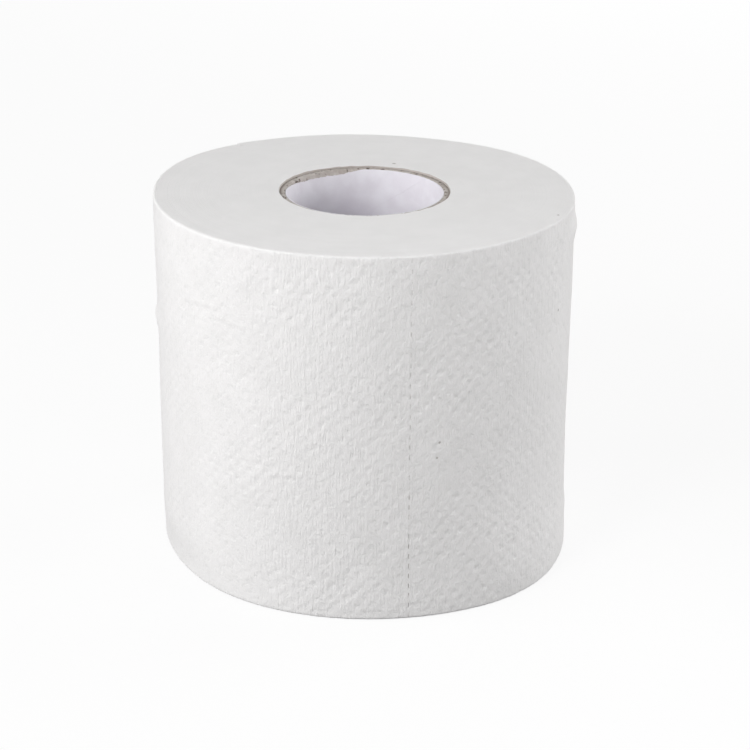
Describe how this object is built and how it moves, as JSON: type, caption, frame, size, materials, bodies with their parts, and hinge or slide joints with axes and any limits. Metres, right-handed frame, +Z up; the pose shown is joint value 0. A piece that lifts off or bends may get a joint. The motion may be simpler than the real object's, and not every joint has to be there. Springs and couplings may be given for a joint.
{
  "type": "toilet paper roll",
  "caption": "Roll of white embossed tissue with tear lines, wound on a chipboard tube with a white paper liner, standing on its end.",
  "frame": {"origin": "centre of the bottom end face, on the axis of the core", "axes": "+Z up along the core's axis; -Y to the front; +X to the right of someone who looks at the front"},
  "size_m": [0.1097, 0.1099, 0.097],
  "materials": {
    "tissue": "matt soft white tissue with small embossed dimples",
    "chipboard": "matt grey-brown recycled board with rough cut edges",
    "liner_paper": "smooth uncoated white paper with a cool tint"
  },
  "bodies": {
    "root": {"tissue_roll": "tissue", "core_board": "chipboard", "core_liner": "liner_paper"}
  },
  "joints": []
}
